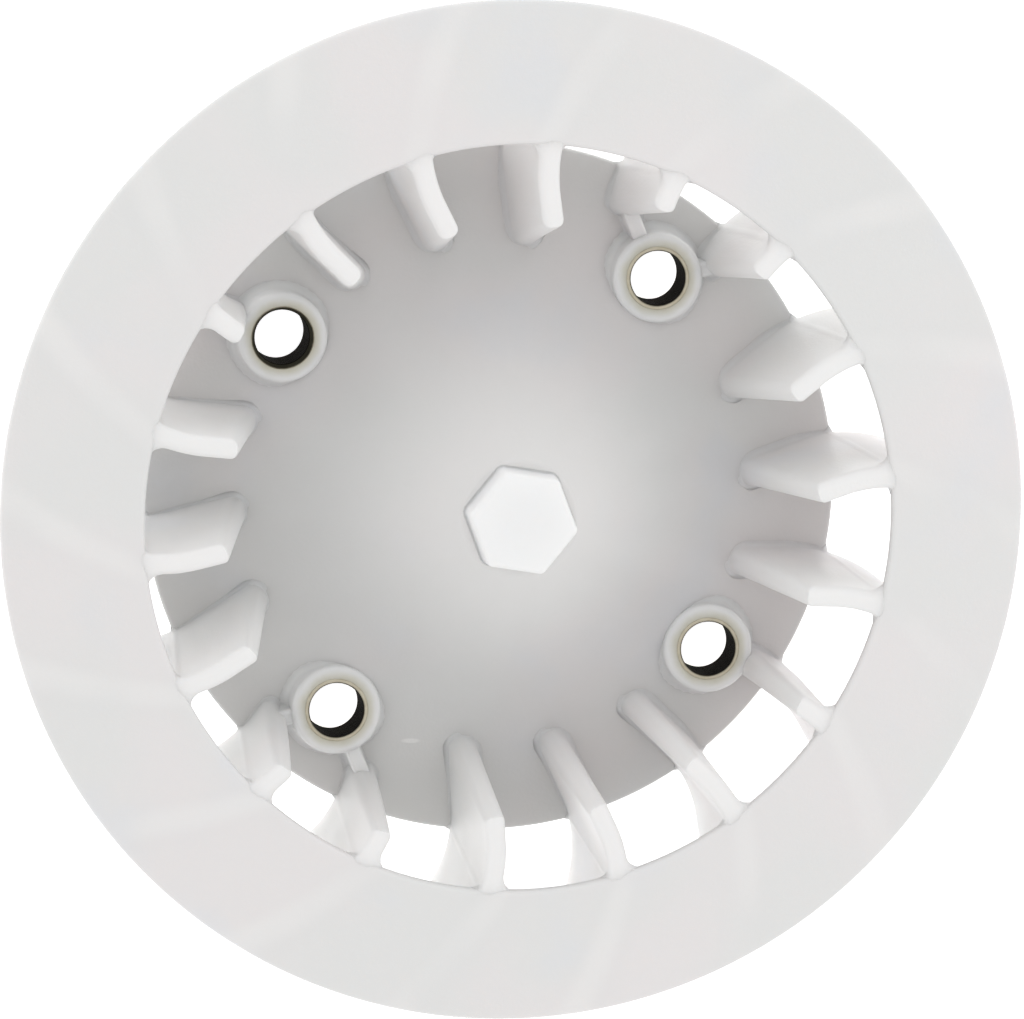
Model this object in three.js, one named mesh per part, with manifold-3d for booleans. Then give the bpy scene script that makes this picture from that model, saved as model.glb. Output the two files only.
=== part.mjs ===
// Cooling-fan wheel for the flywheel of a small engine. The frame is in millimetres: the wheel's axis is Z,
// the origin is on that axis in the plane of the rear seat, and the air comes in from +Z.
// Four screws through metal bushes hold the wheel to the flywheel's front face.
import * as THREE from "three";
import { mergeVertices } from "three/addons/utils/BufferGeometryUtils.js";
import Module from "manifold-3d";

const wasm = await Module();
wasm.setup();

// ---- Driving dimensions, in millimetres and degrees ----

// Front ring: a shallow cone that closes the blade channels at the front.
const ringDiameter = 160;
const ringBoreDiameter = 116.6;
const ringEdgeHeight = 29.5; // front face of the ring at its outer edge, above the rear seat
const ringRise = 5.7; // how much higher the front face stands at the bore
const ringWall = 2.2;
const ringEdgeRound = 0.8;

// Hub: a hollow cone whose side bends outwards into a flat rim.
const rimReach = 12.7; // how far the rim's edge is beyond the circle of the screws
const rimWall = 2.4;
const hubHeight = 33;
const hubLandDiameter = 18.2;
const hubWall = 2.4;
const hubHollow = 1.9; // exponent of the side's curve: 1 is a straight cone, more bends it inwards
const rimSeatWidth = 7.5; // the flat land under the rim, which rests on the flywheel

// Hexagonal nose on the hub's land.
const noseAcrossFlats = 15.2;
const noseHeight = 5;
const noseChamfer = 0.6;
const noseTurn = 20.8; // turn of the hexagon's first flat from +X

// Screw bosses and their metal bushes.
const bossCount = 4;
const bossCircleRadius = 42.4;
const bossFirstAngle = 53.6;
const bossDiameter = 14.2;
const bossHeight = 9.2;
const bossEdgeRound = 0.7;
const bushDiameter = 10;
const bushBore = 8.6;
const bushChamfer = 0.3; // at the plain end
const bushSinkWidth = 0.5; // the other end is countersunk
const bushSinkDepth = 1.2;
const frontSunkBush = 2; // the bush whose countersunk end is at the front; the others have it at the rear
const linkWall = 2.4; // thickness of the low links between a boss and the short blades beside it
const linkReach = 7.4; // how far beyond the circle of the screws a link meets its blade

// Blades: walls along the axis, bent in plan, with a slanted leading edge.
const bladeCount = 18;
const bladeFirstAngle = 87.2; // the ray through the bend of the first blade
const bladeFrontWall = 3.2;
const bladeRearWall = 4.6;
const bladeFootRadius = 39.4;
const bladeCornerRadius = 46.1;
const shortFootReach = 5.3; // blades beside a screw are short, to leave room for its socket: their feet
const shortCornerReach = 10.2; // and front corners start this far beyond the circle of the screws
const shortWithin = 12; // a blade is short when its corner would come this near to a screw's axis
const bladeBendRadius = 57.9; // distance of the bend's corner from the wheel's axis
const bladeBendRound = 22; // radius of the bend itself
const bladeInnerLean = 8.8;
const bladeOuterLean = 28;
const bladeEdgeInset = 1.2; // the blades' outer ends stay this far inside the ring's edge at the front
const bladeEndSlant = 3.2; // and this much further in at the rear
const bladeRearInset = 0.8; // height of the blades' rear edges above the rear seat

// Clearances and steps.
const fitGap = 0.3; // between neighbouring solids
const aroundWheel = 60; // facets round the wheel's axis
const aroundBoss = 24; // facets round each screw's axis
const alongHub = 12; // steps along the hub's side
const alongBlade = 14; // steps along a blade
const past = 10; // how far cutting solids run past what they cut

// ---- Values worked out from them ----

const ringRadius = ringDiameter / 2;
const ringBoreRadius = ringBoreDiameter / 2;
const rimRadius = bossCircleRadius + rimReach;
const landRadius = hubLandDiameter / 2;
const ringSlope = ringRise / (ringRadius - ringBoreRadius);
const seatRadius = rimRadius - rimSeatWidth;
const rad = THREE.MathUtils.degToRad;

/** Height of the ring's front cone, and of the blades' front edges that carry it on inwards. */
function frontHeight(r) {
  return ringEdgeHeight + ringSlope * (ringRadius - r);
}

/** Height of the hub's outside at radius r. */
function hubOutside(r) {
  const share = (rimRadius - r) / (rimRadius - landRadius);
  return rimWall + (hubHeight - rimWall) * Math.max(share, 0) ** hubHollow;
}

/** Steepness of the hub's side at radius r. */
function hubSlope(r) {
  const step = 0.01;
  return (hubOutside(r - step) - hubOutside(r + step)) / (2 * step);
}

/** Height of what stands on the hub at radius r, one gap above it. */
function aboveHub(r) {
  return hubOutside(r) + fitGap * Math.hypot(1, hubSlope(r));
}

// ---- Helpers ----

/** A solid of revolution about Z from a closed profile of [radius, height] points. */
function lathe(profile, facets) {
  const points = profile.map(([r, z]) => new THREE.Vector2(r, z));
  return new THREE.LatheGeometry([...points, points[0]], facets).rotateX(Math.PI / 2);
}

/** A closed geometry as a manifold solid, turned right way out. */
function solid(geometry) {
  const bare = geometry.clone();
  bare.deleteAttribute("normal");
  bare.deleteAttribute("uv");
  const merged = mergeVertices(bare, 1e-4);
  const triVerts = new Uint32Array(merged.index.array);
  const vertProperties = merged.attributes.position.array;
  const made = new wasm.Manifold(new wasm.Mesh({ numProp: 3, vertProperties, triVerts }));
  if (made.volume() > 0) return made;
  return new wasm.Manifold(
    new wasm.Mesh({ numProp: 3, vertProperties, triVerts: triVerts.reverse() }),
  );
}

/** A manifold solid as a three.js geometry. */
function geometryOf(made) {
  const mesh = made.getMesh();
  return new THREE.BufferGeometry()
    .setAttribute("position", new THREE.BufferAttribute(mesh.vertProperties, 3))
    .setIndex(new THREE.BufferAttribute(mesh.triVerts, 1));
}

/** The same solid moved to a screw's axis. */
function atBoss(made, index) {
  const angle = rad(bossFirstAngle + (index * 360) / bossCount);
  const at = [bossCircleRadius * Math.cos(angle), bossCircleRadius * Math.sin(angle), 0];
  return made.translate(at);
}

/** The largest body of a solid: cutting room for a boss can leave a crumb of the neighbour behind it. */
function largestBody(made) {
  const bodies = made.decompose();
  bodies.sort((a, b) => b.volume() - a.volume());
  return bodies[0];
}

/** A plain cylinder on Z between two heights. */
function cylinder(radius, low, high) {
  const profile = [
    [0, low],
    [radius, low],
    [radius, high],
    [0, high],
  ];
  return solid(lathe(profile, aroundBoss));
}

const finishes = {
  moulding: { color: 0xe9e8e6, roughness: 0.45, metalness: 0 },
  bush: { color: 0x8d8471, roughness: 0.35, metalness: 0.9 },
};
const wheel = new THREE.Group();

/** Adds one named piece to the wheel. */
function addPiece(name, made, finish) {
  const material = new THREE.MeshStandardMaterial({ ...finishes[finish], flatShading: true });
  const mesh = new THREE.Mesh(geometryOf(made), material);
  mesh.name = name;
  wheel.add(mesh);
}

// ---- Front ring ----

const ringUnder = (r) => frontHeight(r) - ringWall;
const ringInner = ringBoreRadius + ringEdgeRound;
const ringOuter = ringRadius - ringEdgeRound;
const ringProfile = [
  [ringInner, ringUnder(ringInner)],
  [ringOuter, ringUnder(ringOuter)],
  [ringRadius, ringUnder(ringRadius) + ringEdgeRound],
  [ringRadius, frontHeight(ringRadius) - ringEdgeRound],
  [ringOuter, frontHeight(ringOuter)],
  [ringInner, frontHeight(ringInner)],
  [ringBoreRadius, frontHeight(ringBoreRadius) - ringEdgeRound],
  [ringBoreRadius, ringUnder(ringBoreRadius) + ringEdgeRound],
];
addPiece("front_ring", solid(lathe(ringProfile, aroundWheel)), "moulding");

// ---- Hub ----

/** Points down the hub's side from the land to the rim, evenly spaced in radius. */
function hubSide(height) {
  const points = [];
  for (let i = 0; i <= alongHub; i++) {
    const r = landRadius + ((rimRadius - landRadius) * i) / alongHub;
    points.push([r, height(r)]);
  }
  return points;
}

/** Height of the hub's inside, one wall below its outside and never below the rear seat. */
function hubInside(r) {
  const steepness = Math.hypot(1, hubSlope(r));
  return hubOutside(r) - hubWall * steepness;
}

const inside = hubSide(hubInside).filter(([r, z]) => r < seatRadius - 1 && z > 0.5);
const hubProfile = [
  [0, hubHeight],
  ...hubSide(hubOutside),
  [rimRadius, 0],
  [seatRadius, 0],
  ...inside.filter(([, z]) => z < hubHeight - 2 * hubWall).reverse(),
  [0, hubInside(landRadius)],
];
const bossClearance = cylinder(bossDiameter / 2 + fitGap, -past, bossHeight + fitGap);
let hub = solid(lathe(hubProfile, aroundWheel));
for (let i = 0; i < bossCount; i++) {
  hub = hub.subtract(atBoss(bossClearance, i));
}
addPiece("hub_cone", hub, "moulding");

// ---- Hexagonal nose ----

const noseRadius = noseAcrossFlats / 2 / Math.cos(Math.PI / 6);
const noseFoot = hubHeight + fitGap;
const noseTop = hubHeight + noseHeight;
const noseProfile = [
  [0, noseFoot],
  [noseRadius, noseFoot],
  [noseRadius, noseTop - noseChamfer],
  [noseRadius - noseChamfer, noseTop],
  [0, noseTop],
];
const nose = solid(lathe(noseProfile, 6).rotateZ(rad(noseTurn)));
addPiece("hex_nose", nose, "moulding");

// ---- Blades ----

/** A blade's middle line in plan: a straight inner run, a round bend and a straight outer run. */
class Camber extends THREE.Curve {
  constructor() {
    super();
    this.half = rad(bladeInnerLean + bladeOuterLean) / 2;
    this.tangent = bladeBendRound * Math.tan(this.half);
    this.inner = bladeBendRadius - bladeFootRadius + past - this.tangent;
    this.outer = ringRadius - bladeBendRadius + past - this.tangent;
    this.bend = bladeBendRound * 2 * this.half;
  }

  getPoint(t, target = new THREE.Vector3()) {
    const along = t * (this.inner + this.bend + this.outer);
    const start = new THREE.Vector2(0, -this.inner - this.tangent);
    const turned = THREE.MathUtils.clamp((along - this.inner) / bladeBendRound, 0, 2 * this.half);
    const straight = Math.min(along, this.inner);
    const rest = Math.max(along - this.inner - this.bend, 0);
    const point = new THREE.Vector2(
      bladeBendRound * (1 - Math.cos(turned)) + rest * Math.sin(turned),
      start.y + straight + bladeBendRound * Math.sin(turned) + rest * Math.cos(turned),
    );
    // The inner run leans clockwise towards the axis, about the bend's corner.
    point.rotateAround(new THREE.Vector2(0, 0), rad(bladeInnerLean));
    return target.set(point.x, bladeBendRadius + point.y, 0);
  }
}

/** The blade's wall before it is cut to shape: a tapered section swept along the camber line. */
function bladeWall(extra) {
  const high = frontHeight(bladeCornerRadius) + fitGap;
  const front = bladeFrontWall / 2 + extra;
  const rear = bladeRearWall / 2 + extra;
  const section = new THREE.Shape([
    new THREE.Vector2(0, rear),
    new THREE.Vector2(-high, front),
    new THREE.Vector2(-high, -front),
    new THREE.Vector2(0, -rear),
  ]);
  const options = { steps: alongBlade, extrudePath: new Camber(), bevelEnabled: false };
  return solid(new THREE.ExtrudeGeometry(section, options));
}

/** The space that blades may fill between the hub and the ring. */
function channelSpace() {
  const lipRadius = ringBoreRadius - fitGap;
  const outerEnd = ringRadius - bladeEdgeInset;
  const profile = [
    [landRadius, frontHeight(landRadius)],
    ...hubSide(aboveHub),
    [rimRadius + fitGap, rimWall + fitGap],
    [rimRadius + fitGap, bladeRearInset],
    [outerEnd - bladeEndSlant, bladeRearInset],
    [outerEnd, ringUnder(outerEnd) - fitGap],
    [lipRadius, ringUnder(lipRadius) - fitGap],
    [lipRadius, frontHeight(lipRadius)],
  ];
  return solid(lathe(profile, aroundWheel));
}

/** What a slanted leading edge leaves off: all inside a cone through its foot and its front corner. */
function insideEdge(footRadius, cornerRadius) {
  const foot = aboveHub(footRadius);
  const corner = frontHeight(cornerRadius);
  const slant = (cornerRadius - footRadius) / (corner - foot);
  const profile = [
    [0, -past],
    [footRadius - slant * (foot + past), -past],
    [cornerRadius + slant * past, corner + past],
    [0, corner + past],
  ];
  return solid(lathe(profile, aroundWheel));
}

const bladePitch = 360 / bladeCount;
const bladeTurn = (k) => bladeFirstAngle - 90 - k * bladePitch;
const wall = bladeWall(0);
const channel = channelSpace();
const shortFoot = bossCircleRadius + shortFootReach;
const shortCorner = bossCircleRadius + shortCornerReach;
const fullSpace = channel.subtract(insideEdge(bladeFootRadius, bladeCornerRadius));
const shortSpace = channel.subtract(insideEdge(shortFoot, shortCorner));

/** The point of blade k's middle line at a radius. */
function onBlade(k, radius) {
  const camber = new Camber();
  let best = new THREE.Vector3();
  for (let i = 0; i <= 400; i++) {
    const point = camber.getPoint(i / 400);
    if (Math.abs(point.length() - radius) < Math.abs(best.length() - radius)) best = point;
  }
  return best.applyAxisAngle(new THREE.Vector3(0, 0, 1), rad(bladeTurn(k)));
}

/** The point of a screw's axis in plan. */
function screwPoint(index) {
  const angle = rad(bossFirstAngle + (index * 360) / bossCount);
  return new THREE.Vector3(Math.cos(angle), Math.sin(angle), 0).multiplyScalar(bossCircleRadius);
}

const shortOf = new Map(); // each short blade's screw
for (let k = 0; k < bladeCount; k++) {
  for (let i = 0; i < bossCount; i++) {
    const distance = onBlade(k, bladeCornerRadius).distanceTo(screwPoint(i));
    if (distance < shortWithin) shortOf.set(k, i);
  }
}

for (let k = 0; k < bladeCount; k++) {
  const blankSpace = shortOf.has(k) ? shortSpace : fullSpace;
  let blade = wall.rotate([0, 0, bladeTurn(k)]).intersect(blankSpace);
  for (let i = 0; i < bossCount; i++) {
    blade = blade.subtract(atBoss(bossClearance, i));
  }
  const name = `blade_${String(k + 1).padStart(2, "0")}`;
  addPiece(name, largestBody(blade), "moulding");
}

// ---- Screw bosses, their links and the bushes ----

const bossRadius = bossDiameter / 2;
const bushRadius = bushDiameter / 2;
const boreRadius = bushBore / 2;
const linkTop = bossHeight - bossEdgeRound;

const bossProfile = [
  [0, 0],
  [bossRadius, 0],
  [bossRadius, bossHeight - bossEdgeRound],
  [bossRadius - bossEdgeRound, bossHeight],
  [0, bossHeight],
];
const boss = solid(lathe(bossProfile, aroundBoss));
const bushHole = cylinder(bushRadius + fitGap, -past, bossHeight + past);

const overRim = hubSide(aboveHub).filter(([, z]) => z < linkTop - fitGap);
const linkProfile = [...overRim, [rimRadius, linkTop], [overRim[0][0], linkTop]];
const linkSpace = solid(lathe(linkProfile, aroundWheel));

/** A low link from a screw's axis towards short blade k, ending one gap short of it. */
function link(k, index) {
  const from = screwPoint(index);
  const towards = onBlade(k, bossCircleRadius + linkReach).sub(from);
  const length = towards.length();
  const box = new THREE.BoxGeometry(length, linkWall, linkTop);
  box.translate(length / 2, 0, linkTop / 2);
  box.rotateZ(Math.atan2(towards.y, towards.x));
  box.translate(from.x, from.y, 0);
  return solid(box).intersect(linkSpace).subtract(bladeWall(fitGap).rotate([0, 0, bladeTurn(k)]));
}

const frontSunkProfile = [
  [boreRadius + bushChamfer, 0],
  [bushRadius, 0],
  [bushRadius, bossHeight],
  [boreRadius + bushSinkWidth, bossHeight],
  [boreRadius, bossHeight - bushSinkDepth],
  [boreRadius, bushChamfer],
];
const rearSunkProfile = frontSunkProfile.map(([r, z]) => [r, bossHeight - z]);

for (let i = 0; i < bossCount; i++) {
  let withLinks = atBoss(boss, i);
  for (const [k, screw] of shortOf) {
    if (screw === i) withLinks = withLinks.add(link(k, i));
  }
  addPiece(`screw_boss_${i + 1}`, largestBody(withLinks.subtract(atBoss(bushHole, i))), "moulding");
  const bushProfile = i + 1 === frontSunkBush ? frontSunkProfile : rearSunkProfile;
  addPiece(`metal_bush_${i + 1}`, atBoss(solid(lathe(bushProfile, aroundBoss)), i), "bush");
}

export default wheel;
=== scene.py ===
# %% [markdown]
# # A cooling-fan wheel in white nylon
# The wheel is one moulding in white nylon with four metal bushes. It screws to the front of a small
# engine's flywheel. Its CAD model says where everything is, and this lesson builds the looks round it:
# every region of the moulding becomes a piece of its own, with the fillets, rounded edges and mould marks
# that the plain solids leave out.

import bmesh
import bpy
import numpy as np
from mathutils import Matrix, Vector


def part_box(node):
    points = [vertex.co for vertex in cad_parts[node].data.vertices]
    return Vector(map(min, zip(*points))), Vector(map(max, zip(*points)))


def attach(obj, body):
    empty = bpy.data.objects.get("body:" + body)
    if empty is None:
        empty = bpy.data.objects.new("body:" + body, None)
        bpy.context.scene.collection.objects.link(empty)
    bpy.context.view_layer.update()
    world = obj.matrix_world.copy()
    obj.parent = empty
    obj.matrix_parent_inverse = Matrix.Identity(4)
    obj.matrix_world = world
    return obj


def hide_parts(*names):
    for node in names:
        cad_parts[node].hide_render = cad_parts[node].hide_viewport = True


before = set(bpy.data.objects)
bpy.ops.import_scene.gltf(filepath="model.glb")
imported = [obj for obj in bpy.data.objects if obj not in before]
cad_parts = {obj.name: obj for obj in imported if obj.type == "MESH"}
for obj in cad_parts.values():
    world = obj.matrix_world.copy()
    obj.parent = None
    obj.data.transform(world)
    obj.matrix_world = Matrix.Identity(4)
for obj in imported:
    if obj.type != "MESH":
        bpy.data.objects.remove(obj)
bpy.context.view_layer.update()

# %% [markdown]
# ## Sizes
# Shapes are worked out in millimetres, because that is how a moulding is drawn, and turned into metres when
# a mesh is made. What the CAD boxes can tell is read from them, so the looks can't drift away from the
# solids. Only the curves between those points are written down here.

# %% Read the main sizes from the CAD boxes
MM = 0.001


def box_mm(node):
    """Lowest and highest corner of a CAD node, in millimetres."""
    low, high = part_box(node)
    return np.array(low) / MM, np.array(high) / MM


ring_radius = box_mm("front_ring")[1][0]
rim_radius = box_mm("hub_cone")[1][0]
hub_height = box_mm("hub_cone")[1][2]
nose_top = box_mm("hex_nose")[1][2]
boss_height = box_mm("screw_boss_1")[1][2]
bush_radius = (box_mm("metal_bush_1")[1][0] - box_mm("metal_bush_1")[0][0]) / 2
boss_centres = [sum(box_mm(f"metal_bush_{i}"))[:2] / 2 for i in range(1, 5)]
blade_rear = box_mm("blade_01")[0][2]
print("ring", ring_radius, "rim", rim_radius, "hub", hub_height, "nose", nose_top, "boss", boss_height)

# %% Write down the curves between them
bore_radius = 58.3
ring_wall = 2.2
ring_edge_height, ring_rise = 29.5, 5.7
land_radius, rim_wall, hub_wall, hub_hollow = 9.1, 2.4, 2.4, 1.9
seat_radius = 47.6
boss_radius = 7.1


def ring_front(r):
    """Height of the ring's front cone, which the blades' front edges carry on inwards."""
    return ring_edge_height + ring_rise * (ring_radius - r) / (ring_radius - bore_radius)


def hub_share(r):
    """How far up the hub's side radius r is: 0 at the rim, 1 at the land under the nose."""
    return np.clip((rim_radius - r) / (rim_radius - land_radius), 0, 1)


def hub_front(r):
    """Height of the hub's outside."""
    return rim_wall + (hub_height - rim_wall) * hub_share(r) ** hub_hollow


def hub_steepness(r):
    """Length of the hub's side for one millimetre of radius."""
    mean_slope = (hub_height - rim_wall) / (rim_radius - land_radius)
    return np.hypot(1, hub_hollow * mean_slope * hub_share(r) ** (hub_hollow - 1))


def hub_rear(r):
    """Height of the hub's inside, one wall below its outside."""
    return hub_front(r) - hub_wall * hub_steepness(r)


print("hub at 30 mm:", round(float(hub_front(30)), 2), "front and", round(float(hub_rear(30)), 2), "rear")

# %% [markdown]
# ## Tools for making meshes
# A moulding has no sharp corners. Turned parts come from a profile whose corners are rounded first, and
# walls come from grids of points, whose thickness is a formula. That gives exact fillets at any place,
# where a bevel modifier would need edges to work on.

# %% Turn points and faces into a piece
pieces = []


def closed_mesh(name, points, faces):
    """An object with a smooth closed mesh, from points in mm."""
    mesh = bpy.data.meshes.new(name)
    mesh.from_pydata((np.asarray(points) * MM).tolist(), [], [tuple(map(int, f)) for f in faces])
    shape = bmesh.new()
    shape.from_mesh(mesh)
    bmesh.ops.remove_doubles(shape, verts=shape.verts, dist=1e-7)
    bmesh.ops.recalc_face_normals(shape, faces=shape.faces)
    shape.to_mesh(mesh)
    shape.free()
    mesh.shade_smooth()
    made = bpy.data.objects.new(name, mesh)
    bpy.context.scene.collection.objects.link(made)
    return made


def add_piece(name, points, faces, finish, slot, stands_for=(), at=(0, 0, 0)):
    """A named piece that rides with the wheel. Its points are about the point at."""
    piece = closed_mesh(name, points, faces)
    piece.location = Vector(at) * MM
    piece.data.materials.append(finish)
    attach(piece, "root")
    if stands_for:
        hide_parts(*stands_for)
    pieces.append(piece)
    return piece


# %% Round the corners of a profile, and turn it about an axis
def rounded(corners, arc=7):
    """A closed line through corners of (x, y, radius), each rounded by its radius."""
    line = []
    for i, (x, y, radius) in enumerate(corners):
        corner = np.array([x, y], float)
        if radius == 0:
            line.append(corner)
            continue
        before = np.array(corners[i - 1][:2]) - corner
        after = np.array(corners[(i + 1) % len(corners)][:2]) - corner
        before, after = before / np.linalg.norm(before), after / np.linalg.norm(after)
        half = np.arccos(np.clip(before @ after, -1, 1)) / 2
        middle = corner + (before + after) / np.linalg.norm(before + after) * radius / np.sin(half)
        first = corner + before * radius / np.tan(half) - middle
        last = corner + after * radius / np.tan(half) - middle
        sweep = np.pi - 2 * half
        for t in np.linspace(0, 1, arc):
            line.append(middle + (first * np.sin((1 - t) * sweep) + last * np.sin(t * sweep)) / np.sin(sweep))
    return np.array(line)


def ring_faces(rows, columns):
    """Faces of a grid of points that closes both ways, such as a torus."""
    i, j = np.meshgrid(np.arange(rows), np.arange(columns), indexing="ij")
    along, across = (i + 1) % rows, (j + 1) % columns
    here, ahead = i * columns, along * columns
    return np.stack([here + j, ahead + j, ahead + across, here + across], -1).reshape(-1, 4)


def turned(line, around):
    """Points and faces of a closed profile of (radius, height), turned about Z."""
    angle = np.linspace(0, 2 * np.pi, around, endpoint=False)
    x, y = np.outer(np.cos(angle), line[:, 0]), np.outer(np.sin(angle), line[:, 0])
    z = np.tile(line[:, 1], (around, 1))
    return np.stack([x, y, z], -1).reshape(-1, 3), ring_faces(around, len(line))


# %% Fillets and edges as formulas
def flare(distance, radius):
    """How much a fillet thickens a wall at a distance from what it meets. Inside, it runs on nearly level."""
    short = np.clip(radius - distance, 0, radius)
    run_on = 0.5 * (1 - np.exp(np.minimum(distance, 0) / 0.03))
    return radius - np.sqrt(radius**2 - short**2) + run_on


def smooth(value):
    """0 below 0, 1 above 1, and a smooth step between."""
    t = np.clip(value, 0, 1)
    return t * t * (3 - 2 * t)


def above_hub(r, z):
    """Distance from the hub's outside, or from its rim for a point outside the rim."""
    over = (z - hub_front(r)) / hub_steepness(r)
    beside = np.hypot(np.maximum(r - rim_radius, 0), np.maximum(z - rim_wall, 0))
    return np.where(r < rim_radius, over, beside)


def from_ring(r, z):
    """Distance from the ring, for a point below it or inside its bore. It is negative in the ring's wall."""
    below = ring_front(r) - z - ring_wall
    inwards = bore_radius - r
    outside = np.hypot(np.maximum(inwards, 0), np.maximum(below, 0))
    return np.where(outside > 0, outside, np.maximum(inwards, below))


print("a 2 mm fillet thickens a wall by", round(float(flare(0.5, 2)), 2), "mm half a millimetre up")

# %% [markdown]
# ## Tools for making finishes
# Node trees are easier to read as sums than as links. The class below wraps an output socket, and an
# expression such as `1 - mask` adds its Math node. Every other node comes from one method.

# %% Sockets that do arithmetic
class Value:
    """An output socket of a finish, with numbers' operators."""

    def __init__(self, finish, socket):
        self.finish, self.socket = finish, socket

    def maths(self, operation, *terms):
        inputs = dict(enumerate(terms))
        return self.finish.node("ShaderNodeMath", {"operation": operation}, inputs)

    def __add__(self, other):
        return self.maths("ADD", self, other)

    def __sub__(self, other):
        return self.maths("SUBTRACT", self, other)

    def __rsub__(self, other):
        return self.maths("SUBTRACT", other, self)

    def __mul__(self, other):
        return self.maths("MULTIPLY", self, other)

    def __truediv__(self, other):
        return self.maths("DIVIDE", self, other)

    __radd__, __rmul__ = __add__, __mul__


class Finish:
    """A material on the Principled shader, whose nodes are added by expressions."""

    def __init__(self, name, **constants):
        self.material = bpy.data.materials.new(name)
        self.material.use_nodes = True
        self.tree = self.material.node_tree
        self.shader = self.tree.nodes["Principled BSDF"]
        for socket, value in constants.items():
            self.shader.inputs[socket.replace("_", " ")].default_value = value
        self.place = self.node("ShaderNodeTexCoord", output="Object")

    def node(self, kind, settings=None, inputs=None, output=0):
        """Adds a node: its settings first, then the values or links of its sockets."""
        made = self.tree.nodes.new(kind)
        for key, value in (settings or {}).items():
            setattr(made, key, value)
        for key, value in (inputs or {}).items():
            self.put(made.inputs[key], value)
        return Value(self, made.outputs[output])

    def put(self, socket, value):
        if isinstance(value, Value):
            self.tree.links.new(value.socket, socket)
        else:
            socket.default_value = value

    def set(self, name, value):
        self.put(self.shader.inputs[name], value)

    def noise(self, size_mm, detail=2.0):
        """Soft noise whose features are about this size."""
        inputs = {"Vector": self.place, "Scale": 1 / (size_mm * MM), "Detail": detail}
        return self.node("ShaderNodeTexNoise", inputs=inputs)

    def mask(self, value, start, end):
        """0 to 1 as value goes from start to end, smoothly."""
        inputs = {"Value": value, "From Min": start, "From Max": end}
        return self.node("ShaderNodeMapRange", {"interpolation_type": "SMOOTHSTEP"}, inputs)

    def mix(self, share, a, b):
        """A colour between a and b."""
        inputs = {0: share, 6: a, 7: b}
        return self.node("ShaderNodeMix", {"data_type": "RGBA"}, inputs, output=2)

    def bump(self, height, depth_mm, before=None):
        """A normal from a height of 0 to 1, this deep."""
        inputs = {"Height": height, "Distance": depth_mm * MM, "Strength": 1.0}
        if before is not None:
            inputs["Normal"] = before
        return self.node("ShaderNodeBump", inputs=inputs)

    def parts_of(self, vector):
        """The x, y and z of a vector."""
        split = self.node("ShaderNodeSeparateXYZ", inputs={"Vector": vector})
        return [Value(self, split.socket.node.outputs[i]) for i in range(3)]


# %% [markdown]
# ## White nylon
# Natural nylon is a milky white that lets a little light in, with a satin skin off a fine-spark-eroded
# mould. It is never one colour: the melt leaves faint warm and cool clouds, and a few dark specks of old
# melt sit under the skin. Subsurface light does the milkiness, noise at two sizes does the clouds and the
# skin's grain, and a few Voronoi cells hold a speck each. How much light gets in is a guess, so some light
# and shade is painted into the colour. The hub is painted darker all over, as painted shade for the light
# that its hollow doesn't send back through its wall. The nose is painted lighter, as painted light, and the
# blades a little darker, as painted shade. The hub is painted paler near the nose, and the blades paler
# towards the front, to stand for light that comes through thin walls.

# %% The finish of the moulding
def nylon(name, painted_light_level=1.0, milky=0.4, depth=0.005):
    """White nylon, its colour scaled by a level of painted light: below 1 it paints shade, above 1 light.
    Light gets in by the share milky, to this depth. The caller sets its colour.
    """

    def tone(r, g, b):
        return (r * painted_light_level, g * painted_light_level, b * painted_light_level, 1)

    white = Finish(name, Subsurface_Weight=milky, Subsurface_Scale=depth, Subsurface_Radius=(1.0, 0.93, 0.88),
                   IOR=1.53, Specular_IOR_Level=0.4)
    clouds = white.mask(white.noise(34), 0.42, 0.66)
    colour = white.mix(clouds, tone(0.775, 0.775, 0.768), tone(0.800, 0.778, 0.776))
    cool = white.mask(white.noise(21, detail=3.0), 0.52, 0.74)
    colour = white.mix(cool * 0.6, colour, tone(0.752, 0.765, 0.790))
    cells = {"Vector": white.place, "Scale": 1 / (17 * MM), "Randomness": 1.0}
    away = white.node("ShaderNodeTexVoronoi", inputs=cells, output="Distance")
    lot = white.node("ShaderNodeTexVoronoi", inputs=cells, output="Color")
    chosen = white.mask(white.parts_of(lot)[0], 0.86, 0.88)
    speck = (1 - white.mask(away, 0.012, 0.026)) * chosen
    colour = white.mix(speck * 0.75, colour, (0.16, 0.14, 0.12, 1))
    grain = white.noise(0.55, detail=3.0)
    swirl = white.noise(9, detail=1.0)
    white.set("Roughness", white.mask(swirl, 0.2, 0.8) * 0.14 + (0.36 + grain * 0.08))
    white.set("Normal", white.bump(grain, 0.035, white.bump(swirl, 0.12)))
    return white, colour


# painted shade: the hub's colour is scaled down, for the light that its hollow doesn't send back through its
# wall
hub_nylon, hub_colour = nylon("white_nylon_hub", painted_light_level=0.82, milky=0.2)
x, y, z = hub_nylon.parts_of(hub_nylon.place)
from_axis = x.maths("SQRT", x * x + y * y)
near_nose = 1 - hub_nylon.mask(from_axis, 0.006, 0.032)
hub_colour = hub_nylon.mix(near_nose * 0.6, hub_colour, (0.82, 0.81, 0.80, 1))
aside, ahead = (x + 0.0128) * 0.7, (y + 0.0400) * 2.4  # a small pale nick, wider than it is deep
nick = 1 - hub_nylon.mask(aside.maths("SQRT", aside * aside + ahead * ahead), 0.0006, 0.0013)
hub_nylon.set("Base Color", hub_nylon.mix(nick * 0.4, hub_colour, (0.90, 0.89, 0.88, 1)))
# painted light: the nose's colour is scaled up, to brighten its sides and top
nose_nylon, nose_colour = nylon("white_nylon_nose", painted_light_level=1.2, milky=0.6, depth=0.008)
nose_nylon.set("Base Color", nose_colour)
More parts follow.
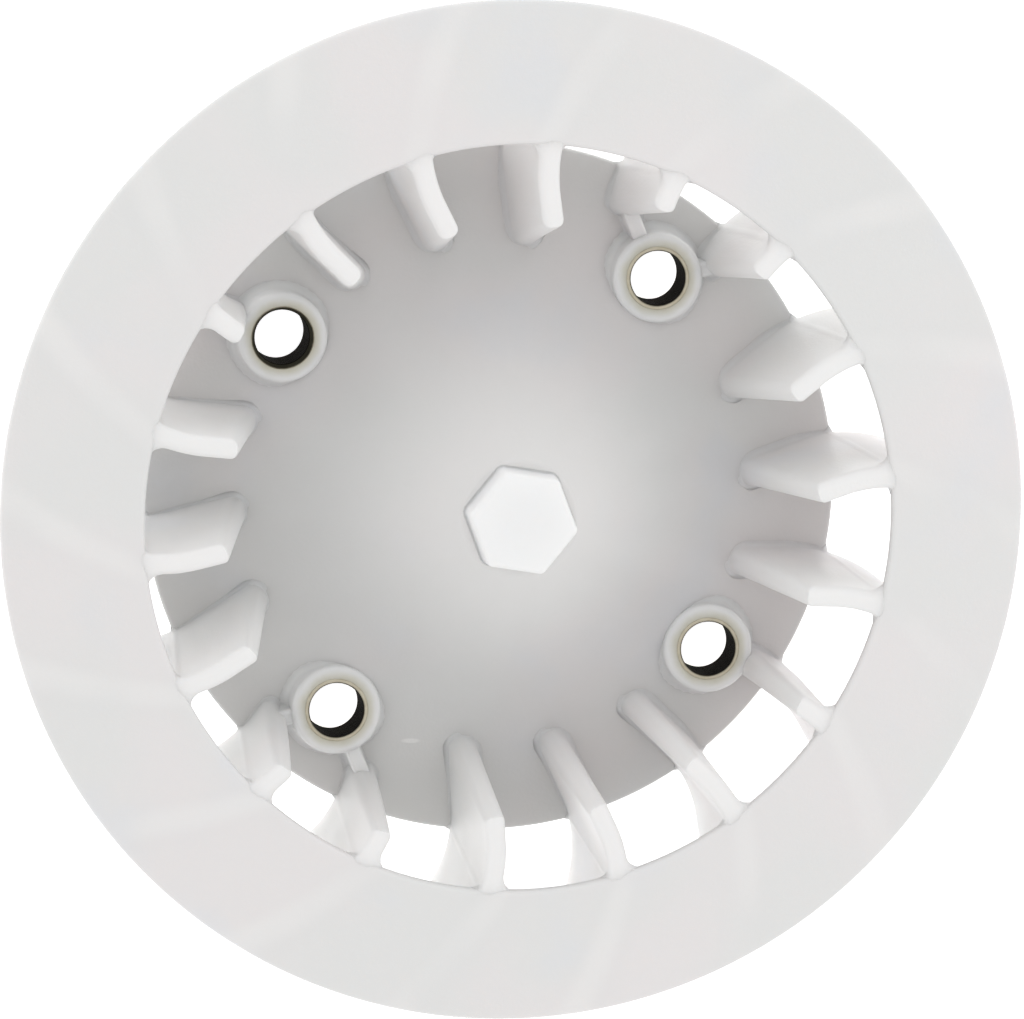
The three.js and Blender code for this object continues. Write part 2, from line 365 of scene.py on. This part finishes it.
# painted shade, a little: the blades' colour is scaled down against their brightly lit sides
blade_nylon, blade_colour = nylon("white_nylon_blade", painted_light_level=0.97)
front_light = blade_nylon.mask(blade_nylon.parts_of(blade_nylon.place)[2], 0.004, 0.034)
blade_nylon.set("Base Color", blade_nylon.mix(front_light * 0.55, blade_colour, (0.95, 0.94, 0.93, 1)))
print("nodes in the hub's nylon:", len(hub_nylon.tree.nodes))

# %% [markdown]
# ## The ring's nylon, with painted light over the blades
# The ring's front shows a faint whiter band over each blade. It is painted light: a paler colour that stands
# for light which the blades behind carry into the translucent ring. The bands are taken to follow the blades'
# curve, so they are drawn from the angle round the wheel, bent by the radius, and repeated once a blade. They
# are colour only.

# %% The finish of the ring, with faint painted light over each blade
blade_count = 18
blade_pitch = 360 / blade_count
first_blade = 87.2

ring_nylon, ring_colour = nylon("white_nylon_ring", milky=0.15, depth=0.002)
x, y, z = ring_nylon.parts_of(ring_nylon.place)
radius = (x * x + y * y).maths("SQRT", x * x + y * y)
angle = y.maths("ARCTAN2", y, x) * (180 / np.pi)
lag = (radius - 0.0579) * 455  # degrees that a blade falls back, for each metre of radius
around = (angle + lag - (first_blade + 720)) / blade_pitch
near = (around.maths("FRACT", around) - 0.5)
near = 0.5 - near.maths("ABSOLUTE", near)
# painted light: a faint whiter band of colour over each blade, bent to follow it
painted_light_over_blade = 1 - ring_nylon.mask(near, 0.02, 0.16)
painted_light_over_blade = painted_light_over_blade * ring_nylon.mask(ring_nylon.noise(26), 0.3, 0.62)
ring_nylon.set("Base Color", ring_nylon.mix(painted_light_over_blade * 0.5, ring_colour, (0.86, 0.85, 0.84, 1)))
print("the marks are", round(blade_pitch, 1), "degrees apart")

# %% [markdown]
# ## Nylon round a bush, and the bush's metal
# The nylon next to a bush is a faint yellow-green, taken here to be an oil stain. The bush is guessed to be
# a steel sleeve with a dull brown skin, and its ends are rubbed to a tan metal. Its bore is painted nearly
# black: the dull skin with painted shade deep in the narrow bore.
# One bush shows its countersunk end at the front, and the dull skin is left in that deeper mouth.

# %% The finishes of the bosses and the bushes
boss_nylon, boss_colour = nylon("white_nylon_boss")
x, y, z = boss_nylon.parts_of(boss_nylon.place)
out = x.maths("SQRT", x * x + y * y)
stain = 1 - boss_nylon.mask(out + boss_nylon.noise(3) * 0.0012, 0.0054, 0.0072)
boss_nylon.set("Base Color", boss_nylon.mix(stain * 0.8, boss_colour, (0.60, 0.57, 0.44, 1)))


def bush_metal(name, land):
    """The metal of a bush: nearly black in its bore, partly the dull skin and partly painted shade, olive in
    its mouth, and bright outside a radius.
    """
    metal = Finish(name, Metallic=0.85, Specular_Tint=(0.3, 0.28, 0.25, 1))
    x, y, z = metal.parts_of(metal.place)
    out = x.maths("SQRT", x * x + y * y)
    rings = metal.node("ShaderNodeTexNoise", {"noise_dimensions": "1D"}, {"W": z * 4200, "Detail": 3.0})
    dirt = metal.noise(1.6, detail=4.0)
    mouth = metal.mask(out, 0.00431, 0.00445)
    rubbed = metal.mask(out + dirt * 0.00015, land - 0.0003, land)
    # painted shade: the bore's nearly black colour is the dull skin darkened for the shade deep inside it
    bore = metal.mix(dirt, (0.006, 0.006, 0.005, 1), (0.022, 0.018, 0.013, 1))
    cone = metal.mix(dirt, (0.045, 0.042, 0.030, 1), (0.12, 0.115, 0.085, 1))
    ends = metal.mix(dirt, (0.44, 0.39, 0.28, 1), (0.68, 0.64, 0.53, 1))
    metal.set("Base Color", metal.mix(rubbed, metal.mix(mouth, bore, cone), ends))
    metal.set("Roughness", 0.62 - rubbed * 0.18 + rings * 0.1)
    metal.set("Normal", metal.bump(rings, 0.02))
    return metal


plain_metal, sunk_metal = bush_metal("bush_metal", 0.0047), bush_metal("bush_metal_sunk", 0.0051)
print("finishes:", [m.name for m in bpy.data.materials])

# %% [markdown]
# ## The front ring
# The ring is a shallow cone of even wall with rounded edges. It is a turned shape, so its rounded profile
# is swept once round the axis.

# %% Make the ring
def ring_rear(r):
    return ring_front(r) - ring_wall


ring_line = rounded([
    (bore_radius, ring_front(bore_radius), 0.6),
    (ring_radius, ring_front(ring_radius), 0.9),
    (ring_radius, ring_rear(ring_radius), 0.6),
    (bore_radius, ring_rear(bore_radius), 0.6),
])
add_piece("front_cone_ring", *turned(ring_line, 288), ring_nylon.material, "white_moulding", ["front_ring"])
print("the ring stands", round(float(ring_front(bore_radius)), 1), "mm high at its bore")

# %% [markdown]
# ## The hub
# The hub is a hollow cone whose side sweeps out to a flat rim. It is turned as well. The screw bosses pass
# through it, so four holes are cut with a Boolean modifier: they stay hidden inside the bosses' walls.

# %% Make the hub
side = [(r, float(hub_front(r)), 0) for r in np.linspace(land_radius, rim_radius, 34)[1:-1]]
inner = [(r, float(hub_rear(r)), 0) for r in np.linspace(46.4, land_radius, 30)]
hub_line = rounded(
    [(0, hub_height, 0), (land_radius, hub_height, 1.2), *side, (rim_radius, rim_wall, 0.5),
     (rim_radius, 0, 0.4), (seat_radius, 0, 0.4), *inner, (0, float(hub_rear(land_radius)), 0)]
)
hub = add_piece("hub_shell", *turned(hub_line, 192), hub_nylon.material, "white_moulding", ["hub_cone"])

drill_points, drill_faces = turned(np.array([(0, -5), (6.1, -5), (6.1, 20), (0, 20)]), 48)
all_points = [drill_points + [x, y, 0] for x, y in boss_centres]
all_faces = [drill_faces + i * len(drill_points) for i in range(len(boss_centres))]
drills = closed_mesh("drills", np.concatenate(all_points), np.concatenate(all_faces))
cut = hub.modifiers.new("screw_holes", "BOOLEAN")
cut.operation, cut.solver, cut.object = "DIFFERENCE", "EXACT", drills
hub.data = bpy.data.meshes.new_from_object(hub.evaluated_get(bpy.context.evaluated_depsgraph_get()))
hub.modifiers.remove(cut)
bpy.data.objects.remove(drills)
print("hub faces:", len(hub.data.polygons))

# %% [markdown]
# ## The blades
# A blade is a wall along the axis. In plan it runs straight, bends, and runs straight again. Its front edge
# carries the ring's cone inwards, its leading edge slants, and it is thicker at the rear so that it leaves
# the mould. Each side of it is a grid of points, and the wall's half thickness at a point is a sum: the
# taper, a fillet where it nears the hub or the ring, a fine bead where the two halves of the mould met,
# less the rounding at its free edges.

# %% The blades' middle line in plan
bend_radius, bend_round = 57.9, 22.0
inner_lean, outer_lean = np.radians(8.8), np.radians(28)
whole_bend = inner_lean + outer_lean
tangent = bend_round * np.tan(whole_bend / 2)
run_in, run_out = 28.5 - tangent, 32.1 - tangent
along = np.linspace(0, run_in + bend_round * whole_bend + run_out, 900)
bent = np.clip((along - run_in) / bend_round, 0, whole_bend)
rest = np.maximum(along - run_in - bend_round * whole_bend, 0)
line_x = bend_round * (1 - np.cos(bent)) + rest * np.sin(bent)
line_y = np.minimum(along, run_in) - run_in - tangent + bend_round * np.sin(bent) + rest * np.cos(bent)
middle_x = line_x * np.cos(inner_lean) - line_y * np.sin(inner_lean)
middle_y = line_x * np.sin(inner_lean) + line_y * np.cos(inner_lean) + bend_radius
middle_radius = np.hypot(middle_x, middle_y)
heading = bent - inner_lean
print("a blade's middle line runs from", round(middle_radius[0], 1), "to", round(middle_radius[-1], 1), "mm")


# %% The grid of a blade
def steps(length, near_ends, step):
    """Shares from 0 to 1 of a length, close together at the two ends."""
    start = np.array(near_ends) / length
    count = int(round((1 - 2 * start[-1]) * length / step))
    return np.concatenate([start, np.linspace(start[-1], 1 - start[-1], count + 1)[1:-1], 1 - start[::-1]])


blade_height = 33  # of a blade's leading edge, from its foot to its front corner
end_rear, end_front = 75.6, 78.8  # radius where a blade ends, at the rear and at the front
half_wall_rear, half_taper, taper_height = 2.3, 0.7, 38.4
long_foot, long_corner = 39.4, 46.1
short_foot, short_corner, short_within = 47.7, 52.6, 12
edge_steps = [0, 0.06, 0.2, 0.42, 0.7, 1.05]
buried = 1.0
foot_rise = np.array([0, 0.7, 0.92, 0.98, 1.003, 1.02, 1.06, 1.13, 1.25, 1.45, 1.75, 2.3])
front_drop = np.array([3.1, 2.6, 2.2, 1.8, 1.4, 1.05, 0.7, 0.42, 0.2, 0.06, 0])
between = np.linspace(0, 1, 24)[1:-1]
share_up = np.concatenate([foot_rise * 0, between, front_drop * 0 + 1])[:, None]
rise = np.concatenate([foot_rise, between * 0 + foot_rise[-1], front_drop * 0])[:, None]
drop = np.concatenate([foot_rise * 0, between * 0 + front_drop[0], front_drop])[:, None]


def blade_low(r):
    """Height of the blade's rear edge: buried in the hub as far as the rim, and above the seat outside it."""
    return blade_rear + (hub_front(r) - buried - blade_rear) * (1 - smooth((r - rim_radius + 0.7) / 0.7))


def blade_high(r):
    """Height of its front edge: level with the ring's cone, and just under its skin inside the ring."""
    return ring_front(r) - 0.6 * smooth((r - bore_radius - 0.75) / 1.0)


def blade_sides(foot_radius, corner_radius):
    """The points of both sides of a blade that points along +Y, clockwise side first."""
    share = steps((end_rear + end_front - foot_radius - corner_radius) / 2, edge_steps, 0.45)
    height = rise * (1 - share_up) + (blade_height - drop) * share_up
    skirt = flare((height - buried) / hub_steepness(foot_radius), 0.4)  # the foot's fillet, round the end
    lead = foot_radius + (corner_radius - foot_radius) * height / blade_height - skirt
    end = end_rear + (end_front - end_rear) * height / blade_height
    r = lead + (end - lead) * share
    z = (blade_low(r) + rise) * (1 - share_up) + (blade_high(r) - drop) * share_up
    place = np.interp(r, middle_radius, along)
    x, y, turn = (np.interp(place, along, values) for values in (middle_x, middle_y, heading))
    out_x, out_y = np.cos(turn), -np.sin(turn)
    sides = []
    lead_round = 1.9 - 0.7 * height / blade_height
    for way, lip_fillet, foot_fillet, edge_round in ((1, 0.5, 0.4, 0.8), (-1, 2.4, 1.2, 1.5)):
        dent = flare(np.minimum.reduce([z - blade_low(r), blade_high(r) - z, end - r]), edge_round)
        half = half_wall_rear - half_taper * z / taper_height
        surface = np.hypot(x + way * half * out_x, y + way * half * out_y)
        lip = lip_fillet - max(lip_fillet - 1.0, 0) * smooth((surface - bore_radius + 0.3) / 2)
        foot = foot_fillet * (1 - 0.5 * smooth((surface - rim_radius + 7) / 7))
        join = rim_radius + (bore_radius - rim_radius) * (z - rim_wall) / 30.6
        bead = 0.16 * np.exp(-(((surface - join) / 0.4) ** 2))
        web = smooth((blade_high(r) - z) / 1.2)  # the lip's fillet stays below the blade's front edge
        grow = flare(from_ring(surface, z), lip) * web + flare(above_hub(surface, z), foot)
        half = half + grow + bead - np.maximum(dent, flare(r - lead, lead_round + grow))
        px, py = x + way * half * out_x, y + way * half * out_y
        surface = np.hypot(px, py)
        pz = z + share_up * (blade_high(surface) - blade_high(r))
        sides.append(np.stack([px, py, pz], -1))
    return sides


def blade_shape(foot_radius, corner_radius):
    """Points and faces of a closed blade."""
    front, back = blade_sides(foot_radius, corner_radius)
    rows, columns = front.shape[:2]
    number = np.arange(rows * columns).reshape(rows, columns)
    flat = np.stack([number[:-1, :-1], number[:-1, 1:], number[1:, 1:], number[1:, :-1]], -1).reshape(-1, 4)
    border = np.concatenate([number[0], number[1:, -1], number[-1, -2::-1], number[-2:0:-1, 0]])
    after = np.roll(border, -1)
    count = rows * columns
    rim = np.stack([border, after, after + count, border + count], -1)
    points = np.concatenate([front.reshape(-1, 3), back.reshape(-1, 3)])
    return points, [*flat, *(flat + count)[:, ::-1], *rim]


def turned_by(points, degrees):
    """Points turned about the wheel's axis, anticlockwise."""
    c, s = np.cos(np.radians(degrees)), np.sin(np.radians(degrees))
    return points @ np.array([[c, s, 0], [-s, c, 0], [0, 0, 1]])


# %% Make the blades, with short ones beside the screws
def blade_turn(number):
    return first_blade - 90 - (number - 1) * blade_pitch


def middle_point(number, at_radius):
    """The point of a blade's middle line in plan at a radius."""
    x, y = np.interp(at_radius, middle_radius, middle_x), np.interp(at_radius, middle_radius, middle_y)
    return turned_by(np.array([x, y, 0]), blade_turn(number))[:2]


short_blades = {}
for number in range(1, blade_count + 1):
    for i, centre in enumerate(boss_centres):
        if np.linalg.norm(middle_point(number, long_corner) - centre) < short_within:
            short_blades[number] = i

long_shape, short_shape = blade_shape(long_foot, long_corner), blade_shape(short_foot, short_corner)
for number in range(1, blade_count + 1):
    points, faces = short_shape if number in short_blades else long_shape
    name = f"fan_blade_{number:02d}"
    points = turned_by(points, blade_turn(number))
    add_piece(name, points, faces, blade_nylon.material, "white_moulding", [f"blade_{number:02d}"])
print("short blades:", sorted(short_blades), "faces in a long blade:", len(long_shape[1]))

# %% [markdown]
# ## The screw bosses and their links
# Each screw passes through a round boss, whose foot is filleted into the hub in front and behind. Two of
# the bosses stand between blades, and a low straight link ties them to each short blade. The hub's hollow
# hides the rear, so how the bosses end there is a guess.

# %% Make the bosses
boss_angles = np.linspace(0, 2 * np.pi, 96, endpoint=False)
boss_edge_round = 0.75
edge_arc = np.linspace(0, np.pi / 2, 7)
fillet_steps = np.array([0, 0.004, 0.02, 0.06, 0.13, 0.25, 0.42, 0.65, 1.0])


def boss_shape(centre):
    """Points and faces of a boss, about its own axis. Its fillets shrink where the hub leaves no room."""

    def ground(height, radius):
        """The hub's height at the boss's points at a radius."""
        x, y = centre[0] + radius * np.cos(boss_angles), centre[1] + radius * np.sin(boss_angles)
        return height(np.hypot(x, y))

    edge = boss_height - boss_edge_round
    wall = np.full_like(boss_angles, boss_radius)
    rear_fillet = 0.9 * smooth((ground(hub_rear, wall) - 0.6) / 2)
    front_fillet = 1.3 * smooth((edge - ground(hub_front, wall)) / 3)
    rows = [(wall - 0.3, wall * 0 + 0.05), (wall, wall * 0 + 0.3)]
    for step in fillet_steps[::-1]:
        out = wall + rear_fillet * flare(step, 1.0)
        rows.append((out, np.maximum(ground(hub_rear, out) - rear_fillet * step, 0.35)))
    for sunk, step in ((0.35, -0.3), (0.25, -0.03)):
        out = wall + front_fillet + sunk
        rows.append((out, np.minimum(ground(hub_front, out) + step, edge)))
    for step in fillet_steps:
        out = wall + front_fillet * flare(step, 1.0)
        rows.append((out, np.minimum(ground(hub_front, out) + front_fillet * step, edge)))
    for t in edge_arc:
        rows.append((wall - boss_edge_round * (1 - np.cos(t)), wall * 0 + edge + boss_edge_round * np.sin(t)))
    inside = bush_radius - 0.05
    socket = ((inside + 0.1, boss_height), (inside, boss_height - 0.1), (inside, 0.2), (inside + 0.3, 0.05))
    for r, z in socket:
        rows.append((wall * 0 + r, wall * 0 + z))
    radius, height = (np.array(values) for values in zip(*rows))
    points = np.stack([radius * np.cos(boss_angles), radius * np.sin(boss_angles), height], -1)
    return points.reshape(-1, 3), ring_faces(len(rows), len(boss_angles))


for i, centre in enumerate(boss_centres, start=1):
    name = f"screw_boss_moulding_{i}"
    at = (*centre, 0)
    add_piece(name, *boss_shape(centre), boss_nylon.material, "white_moulding", [f"screw_boss_{i}"], at)
print("bosses stand", round(boss_height, 1), "mm high")

# %% Make the links
link_half, link_top, link_round = 1.2, boss_height - 0.7, 0.6
link_end = 49.8  # radius where a link meets its blade


def link_shape(start, end):
    """Points and faces of a low wall on the hub from start to end."""
    length = np.linalg.norm(end - start)
    ahead = (end - start) / length
    aside = np.array([-ahead[1], ahead[0]])
    rows = []
    for t in np.linspace(0, 1, 18):
        base = start + (end - start) * t
        halves = []
        for side in (aside, -aside):
            ground = float(hub_front(np.hypot(*(base + side * 1.6))))
            above = np.concatenate([foot_rise - buried, np.linspace(1.8, link_top - link_round - ground, 6)])
            half = [(link_half + float(flare(up, 0.6)), ground + up) for up in above]
            for a in edge_arc[1:]:
                narrower, lower = link_round * (1 - np.cos(a)), link_round * (1 - np.sin(a))
                half.append((link_half - narrower, link_top - lower))
            halves.append([(*(base + side * w), z) for w, z in half])
        rows.append(halves[0] + halves[1][::-1])
    points = np.array(rows)
    stations, corners = points.shape[:2]
    faces = list(ring_faces(stations, corners)[: (stations - 1) * corners])
    last = (stations - 1) * corners
    return points.reshape(-1, 3), [*faces, range(corners), range(last, last + corners)]


for number, i in sorted(short_blades.items()):
    centre, reach = boss_centres[i], middle_point(number, link_end)
    away = np.linalg.norm(reach - centre)
    if away > boss_radius + 1.2:
        start = centre + (reach - centre) * (boss_radius - 0.8) / away
        name = f"boss_link_{i + 1}_{number:02d}"
        add_piece(name, *link_shape(start, reach), blade_nylon.material, "white_moulding")
        print(name, "is", round(float(away - boss_radius), 1), "mm long")

# %% [markdown]
# ## The metal bushes
# A bush is a plain sleeve. One end is countersunk and the other only has its edge broken. The second bush
# shows its countersunk end at the front. The other three are guessed to be the same sleeve the other way
# round.

# %% Make the bushes
sleeve_bore, sink_width, sink_depth = 4.3, 0.5, 1.2
front_sunk_bush = 2
sleeve = [
    (sleeve_bore, 0, 0.25),
    (bush_radius, 0, 0.15),
    (bush_radius, boss_height, 0.15),
    (sleeve_bore + sink_width, boss_height, 0.08),
    (sleeve_bore, boss_height - sink_depth, 0.2),
]
for i, centre in enumerate(boss_centres, start=1):
    sleeve_line = rounded(sleeve, arc=5)
    if i != front_sunk_bush:
        sleeve_line[:, 1] = boss_height - sleeve_line[:, 1]
    name = f"bush_sleeve_{i}"
    metal = sunk_metal if i == front_sunk_bush else plain_metal
    at = (*centre, 0)
    add_piece(name, *turned(sleeve_line, 96), metal.material, "bush_metal", [f"metal_bush_{i}"], at)
print("bushes:", [[round(float(v), 2) for v in centre] for centre in boss_centres])

# %% [markdown]
# ## The hexagonal nose
# The nose is a six-sided block on the hub's land, moulded with rounded corners, a fillet at its foot and a
# soft edge round its top. Every level of it is the same hexagon moved in or out by a distance, so its
# outline is kept as corner centres and directions. The distance stays under the corners' radius, or they
# would fold.

# %% Make the nose
nose_apothem, corner_round, first_flat = 7.6, 1.2, 20.8
corner_reach = (nose_apothem - corner_round) / np.cos(np.pi / 6)
outline_centre, outline_way = [], []
for k in range(6):
    corner = np.radians(first_flat + 30 + 60 * k)
    for spread in np.radians(np.linspace(-30, 30, 7)):
        outline_centre.append((corner_reach * np.cos(corner), corner_reach * np.sin(corner)))
        outline_way.append((np.cos(corner + spread), np.sin(corner + spread)))
outline_centre, outline_way = np.array(outline_centre), np.array(outline_way)
nose_count, nose_round = len(outline_way), 0.85

levels = [(0.3, hub_height - 0.8), (0.3, hub_height), (0.19, hub_height + 0.02), (0.09, hub_height + 0.12)]
levels += [(-0.04 * d, hub_height + d) for d in (0.35, 1.5, 3)]
levels += [(-0.15 - nose_round * (1 - np.cos(a)), nose_top - nose_round * (1 - np.sin(a))) for a in edge_arc]
rows = []
for w, z in levels:
    outline = outline_centre + outline_way * (corner_round + w)
    rows.append(np.column_stack([outline, np.full(nose_count, z)]))
rows += [rows[-1] * (share, share, 1) for share in (0.94, 0.5)]  # flat rings keep the top's shading level
nose_points = np.concatenate(rows)
nose_faces = list(ring_faces(len(rows), nose_count)[: (len(rows) - 1) * nose_count])
nose_faces += [range(nose_count), range((len(rows) - 1) * nose_count, len(rows) * nose_count)]
add_piece("hexagon_nose", nose_points, nose_faces, nose_nylon.material, "white_moulding", ["hex_nose"])
print("the nose is", 2 * nose_apothem, "mm across flats")

# %% [markdown]
# ## Even shading
# A rounded edge is a strip of narrow faces between wide flat ones. Weighted normals let the wide faces
# decide, so the flats stay flat and only the edge looks round.

# %% Even out the shading of every piece
for piece in pieces:
    piece.modifiers.new("even_shading", "WEIGHTED_NORMAL").keep_sharp = True
print("pieces with even shading:", len(pieces))

# %% [markdown]
# ## Floor, light and camera
# The wheel lies on a plain pale floor that glows a little, as a light table does, so that it stays white in
# the gaps between the blades. A soft white sky does most of the lighting, as in a light tent, and two weak
# soft boxes make the sides of the blades differ a little. The floor doesn't glow in the hub's hollow, and
# its glow falls away outside the wheel, where the sky reaches it, so that the blades' outer ends aren't lit
# past white.

# %% Lay the floor
bpy.ops.mesh.primitive_plane_add(size=6, location=(0, 0, -0.0002))
floor = bpy.context.object
floor.name = "pale_floor"
paper = Finish("pale_floor", Roughness=0.9, Emission_Strength=0.9)
x, y, z = paper.parts_of(paper.place)
out = x.maths("SQRT", x * x + y * y)
past_hollow = paper.mask(out, 0.034, 0.036)
past_wheel = paper.mask(out, 0.070, 0.100)
far_off = paper.mask(out, 0.12, 0.30)
open_floor = paper.mix(far_off, (0.55, 0.55, 0.55, 1), (0.20, 0.20, 0.20, 1))
lit_floor = paper.mix(past_wheel, (1.0, 1.0, 1.0, 1), open_floor)
paper.set("Emission Color", paper.mix(past_hollow, (0.02, 0.02, 0.02, 1), lit_floor))
paper.set("Base Color", paper.mix(paper.noise(40), (0.90, 0.90, 0.90, 1), (0.93, 0.93, 0.93, 1)))
floor.data.materials.append(paper.material)

# %% Hang the lights
scene = bpy.context.scene
scene.view_settings.view_transform = "Standard"
world = bpy.data.worlds.new("studio")
scene.world = world
world.use_nodes = True
world.node_tree.nodes["Background"].inputs["Color"].default_value = (1.0, 1.0, 1.0, 1)
world.node_tree.nodes["Background"].inputs["Strength"].default_value = 0.93
lamp_size, lamp_watts, wheel_middle = 0.5, 0.5, Vector((0, 0, 0.02))


def hang_lamp(name, place):
    """A square soft box at a place, turned towards the wheel."""
    lamp = bpy.data.lights.new(name, "AREA")
    lamp.size, lamp.energy = lamp_size, lamp_watts
    holder = bpy.data.objects.new(name, lamp)
    holder.location = place
    holder.rotation_euler = (wheel_middle - Vector(place)).to_track_quat("-Z", "Y").to_euler()
    scene.collection.objects.link(holder)


hang_lamp("right_softbox", (1.0, 0.1, 0.7))
hang_lamp("upper_softbox", (-0.2, 1.0, 0.7))

# %% Set up the camera
camera = bpy.data.objects.new("camera", bpy.data.cameras.new("camera"))
camera.data.lens = 272.44
off_axis, towards = np.radians(12.55), np.radians(133.07)
view_back = Vector((np.sin(off_axis) * np.cos(towards), np.sin(off_axis) * np.sin(towards), np.cos(off_axis)))
tilt = Vector((0, 0, 1)).rotation_difference(view_back)
camera.rotation_mode = "QUATERNION"
camera.rotation_quaternion = tilt
aside, up, camera_distance = -0.00066, 0.00086, 1.2
camera.location = Vector((0, 0, ring_edge_height * MM)) + tilt @ Vector((aside, up, camera_distance))
camera.data.clip_start, camera.data.clip_end = 0.05, 20
scene.collection.objects.link(camera)
scene.camera = camera
print("camera at", [round(v, 3) for v in camera.location])

# %% Update the scene and finish
bpy.context.view_layer.update()
